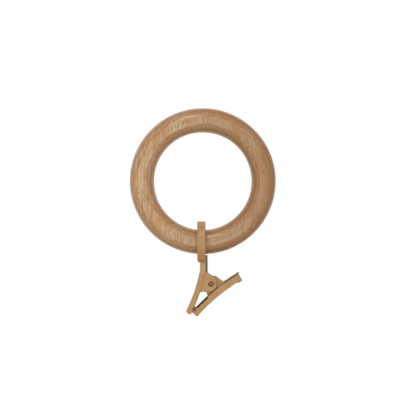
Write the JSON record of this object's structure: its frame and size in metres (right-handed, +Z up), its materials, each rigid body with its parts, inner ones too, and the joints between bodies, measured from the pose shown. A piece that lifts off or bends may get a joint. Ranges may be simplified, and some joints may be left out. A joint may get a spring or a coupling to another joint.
{
  "type": "curtain ring with clip",
  "caption": "Turned wooden curtain ring with a plastic clip hanging from it by a round eye; the clip's sprung lever opens toothed jaws that grip the top of a curtain.",
  "frame": {"origin": "centre of the ring's opening, midway through its thickness", "axes": "+Z up, from the clip towards the top of the ring; +Y through the ring's opening, along the curtain rod; +X towards the clip's handle"},
  "size_m": [0.0526, 0.0148, 0.0748],
  "materials": {
    "varnished_wood": "satin varnish over fine straight grain",
    "clip_plastic": "satin moulding",
    "pin_steel": "dull",
    "spring_steel": "rolled strip",
    "grip_rubber": "matt"
  },
  "bodies": {
    "ring": {"wooden_ring": "varnished_wood"},
    "clip": {"clip_body": "clip_plastic", "hinge_pin": "pin_steel", "spring_strip": "spring_steel"},
    "lever": {"clip_lever": "clip_plastic", "grip_strip": "grip_rubber"}
  },
  "joints": [
    {"name": "clip_swing", "type": "hinge", "parent": "ring", "child": "clip", "pos_m": [0, 0, -0.0219], "axis": [1, 0, 0], "range_deg": [-115, 115]},
    {"name": "lever_hinge", "type": "hinge", "parent": "clip", "child": "lever", "pos_m": [0.00295, 0, -0.0369], "axis": [0, -1, 0], "range_deg": [0, 35], "stiffness_Nm_per_rad": 0.05, "springref_deg": -34.38, "deforming": ["spring_strip"]}
  ]
}
